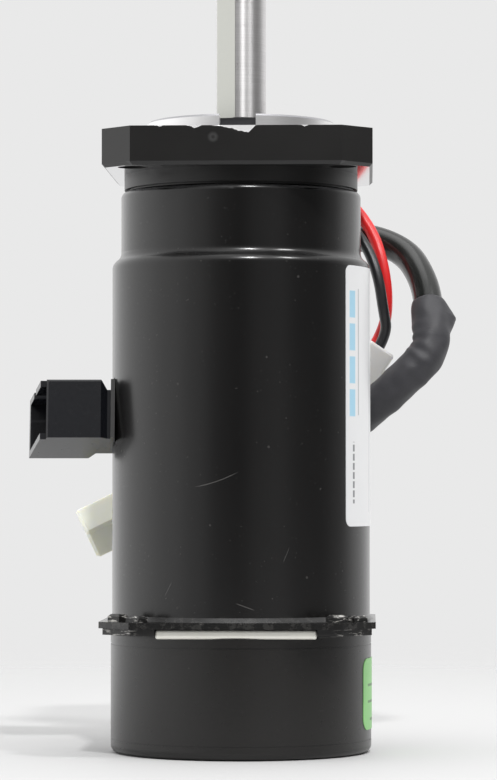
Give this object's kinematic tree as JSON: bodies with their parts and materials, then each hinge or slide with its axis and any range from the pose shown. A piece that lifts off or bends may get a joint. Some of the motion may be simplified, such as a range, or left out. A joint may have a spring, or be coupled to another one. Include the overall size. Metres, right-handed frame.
{
  "type": "brushed DC servo motor with encoder",
  "caption": "Small brushed DC motor in a black steel can with a square mounting flange, D-cut output shaft, rear encoder cap, side header and a sleeved lead harness.",
  "frame": {"origin": "on the shaft axis at the flat bottom of the end cap, which the motor stands on", "axes": "+Z along the shaft out of the flange; X and Y parallel to the sides of the square flange; the side header points to about -X and the label is on the +X side"},
  "size_m": [0.0691, 0.054, 0.1225],
  "materials": {
    "black_paint": "gloss",
    "can_paint": "semi-gloss",
    "ground_steel": "ground",
    "bearing_steel": "polished",
    "spring_steel": "satin",
    "plated_steel": "zinc plated",
    "bracket_steel": "black with bare scratches",
    "cap_plastic": "semi-matt",
    "header_plastic": "matt",
    "seal_rubber": "matt",
    "boot_rubber": "satin",
    "white_nylon": "satin",
    "clear_nylon": "translucent",
    "cream_nylon": "translucent",
    "magnet": "sintered",
    "lamination": "stamped stack",
    "fibre": "fibre",
    "copper": "enamelled copper",
    "copper_bar": "turned copper",
    "phenolic": "moulded",
    "brass": "satin",
    "carbon": "carbon",
    "board_green": "solder mask",
    "chip_black": "moulded",
    "alloy": "turned",
    "disc_film": "film",
    "tinned": "tinned",
    "ribbon_grey": "flat cable",
    "label_white": "film",
    "sticker_green": "film",
    "sleeve_black": "vinyl sleeving",
    "shrink_grey": "heat-shrunk polyolefin",
    "wire_red": "insulation",
    "wire_black": "insulation"
  },
  "bodies": {
    "motor_body": {"front_flange": "black_paint", "shaft_seal": "seal_rubber", "bearing_clip": "spring_steel", "front_bearing_outer_race": "bearing_steel", "front_bearing_shields": "plated_steel", "rear_bearing_outer_race": "bearing_steel", "rear_bearing_shields": "plated_steel", "motor_can": "can_paint", "field_magnets": "magnet", "rear_bracket": "bracket_steel", "preload_washer": "spring_steel", "insulator_ring": "white_nylon", "end_cap": "cap_plastic", "cap_screws": "plated_steel", "encoder_board": "board_green", "board_standoffs": "brass", "board_screws": "plated_steel", "encoder_sensor": "chip_black", "encoder_chips": "chip_black", "brush_card": "phenolic", "brush_boxes": "brass", "brush_spring_a": "spring_steel", "brush_spring_b": "spring_steel", "brush_leads": "wire_red", "header_housing": "header_plastic", "header_pins": "tinned", "header_plate": "black_paint", "encoder_flat_cable": "ribbon_grey", "rating_label": "label_white", "check_sticker": "sticker_green", "lead_boot": "boot_rubber", "sleeved_cable": "sleeve_black", "heat_shrink_sleeve": "shrink_grey", "red_lead": "wire_red", "black_lead": "wire_black", "lead_connector": "clear_nylon", "lead_terminals": "tinned", "signal_cable": "wire_black", "signal_connector": "cream_nylon"},
    "rotor": {"output_shaft": "ground_steel", "shaft_clip": "spring_steel", "rotor_core": "lamination", "rotor_end_plates": "fibre", "armature_winding": "copper", "commutator_core": "phenolic", "commutator_bars": "copper_bar", "front_bearing_inner_race": "bearing_steel", "rear_bearing_inner_race": "bearing_steel", "encoder_hub": "alloy", "encoder_disc": "disc_film"},
    "front_ball_set": {"front_bearing_balls": "bearing_steel", "front_bearing_cage": "spring_steel"},
    "rear_ball_set": {"rear_bearing_balls": "bearing_steel", "rear_bearing_cage": "spring_steel"},
    "brush_a": {"brush_a": "carbon"},
    "brush_b": {"brush_b": "carbon"}
  },
  "joints": [
    {"name": "rotor_spin", "type": "hinge", "parent": "motor_body", "child": "rotor", "pos_m": [0, 0, 0.1], "axis": [0, 0, 1], "continuous": true},
    {"name": "front_cage_spin", "type": "hinge", "parent": "motor_body", "child": "front_ball_set", "pos_m": [0, 0, 0.089], "axis": [0, 0, 1], "continuous": true},
    {"name": "rear_cage_spin", "type": "hinge", "parent": "motor_body", "child": "rear_ball_set", "pos_m": [0, 0, 0.01565], "axis": [0, 0, 1], "continuous": true},
    {"name": "brush_a_slide", "type": "slide", "parent": "motor_body", "child": "brush_a", "axis": [0.7071, 0.7071, 0], "range_m": [0, 0.0008], "stiffness_N_per_m": 150, "springref_m": -0.003, "deforming": ["brush_spring_a"]},
    {"name": "brush_b_slide", "type": "slide", "parent": "motor_body", "child": "brush_b", "axis": [-0.7071, -0.7071, 0], "range_m": [0, 0.0008], "stiffness_N_per_m": 150, "springref_m": -0.003, "deforming": ["brush_spring_b"]}
  ],
  "couplings": [
    {"joint": "front_cage_spin", "follows": "rotor_spin", "ratio": 0.37},
    {"joint": "rear_cage_spin", "follows": "rotor_spin", "ratio": 0.3733}
  ]
}
